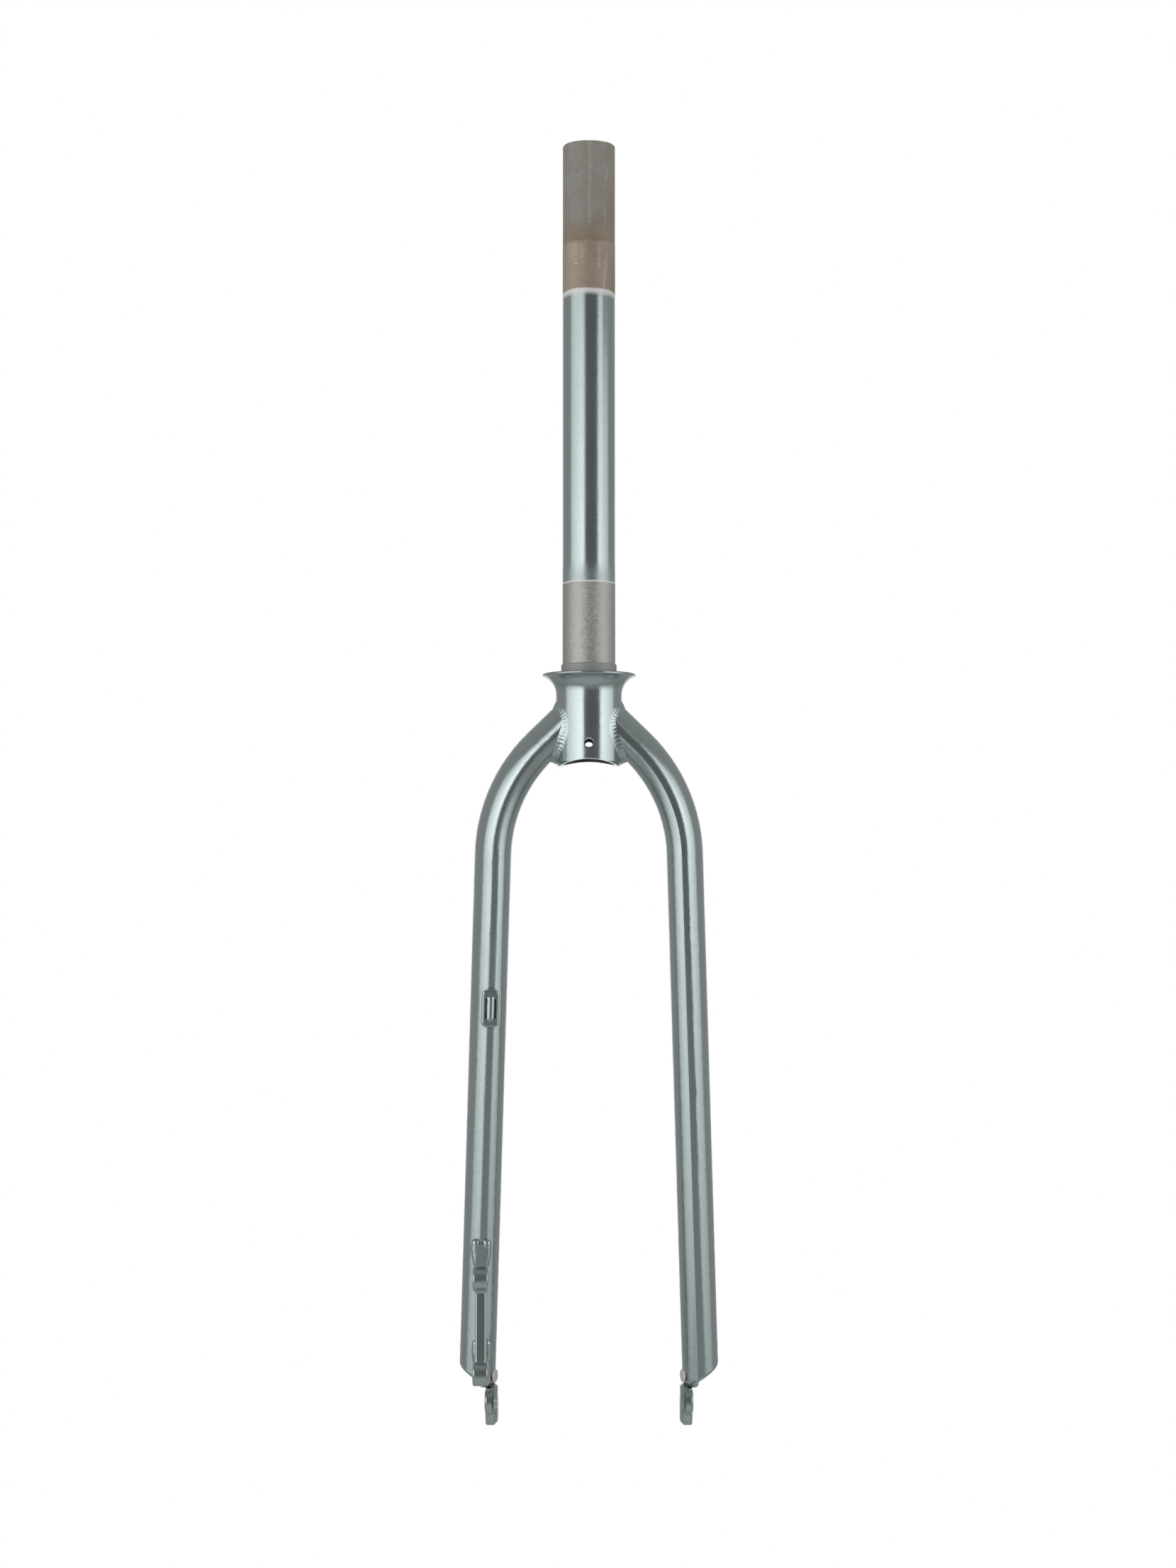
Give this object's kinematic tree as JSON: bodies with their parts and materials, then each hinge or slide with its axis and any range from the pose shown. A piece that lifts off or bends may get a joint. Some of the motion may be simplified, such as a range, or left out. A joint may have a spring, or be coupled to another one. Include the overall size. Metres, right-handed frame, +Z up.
{
  "type": "rigid bicycle fork",
  "caption": "Rigid bicycle fork with a threaded steerer, a flanged crown, bent oval blades, slotted dropouts and a disc brake mount on the left blade.",
  "frame": {"origin": "on the steering axis, at the shoulder that the headset's crown race sits on", "axes": "+Z up the steerer along the steering axis, +Y to the front of the bicycle, +X to the rider's right"},
  "size_m": [0.142, 0.0824, 0.699],
  "materials": {
    "steerer_steel": "bare turned steel above and below a band of silver metallic paint",
    "silver_paint": "silver metallic paint with a faint green cast under clear coat",
    "bare_plug": "ground bare metal"
  },
  "bodies": {
    "root": {"steerer_tube": "steerer_steel", "fork_crown": "silver_paint", "left_blade": "silver_paint", "right_blade": "silver_paint", "left_crown_weld": "silver_paint", "right_crown_weld": "silver_paint", "left_dropout": "silver_paint", "right_dropout": "silver_paint", "left_dropout_weld": "silver_paint", "right_dropout_weld": "silver_paint", "left_plug_weld": "bare_plug", "right_plug_weld": "bare_plug", "disc_mount": "silver_paint", "disc_mount_upper_weld": "silver_paint", "disc_mount_lower_weld": "silver_paint", "hose_guide": "silver_paint", "hose_guide_braze": "silver_paint"}
  },
  "joints": []
}
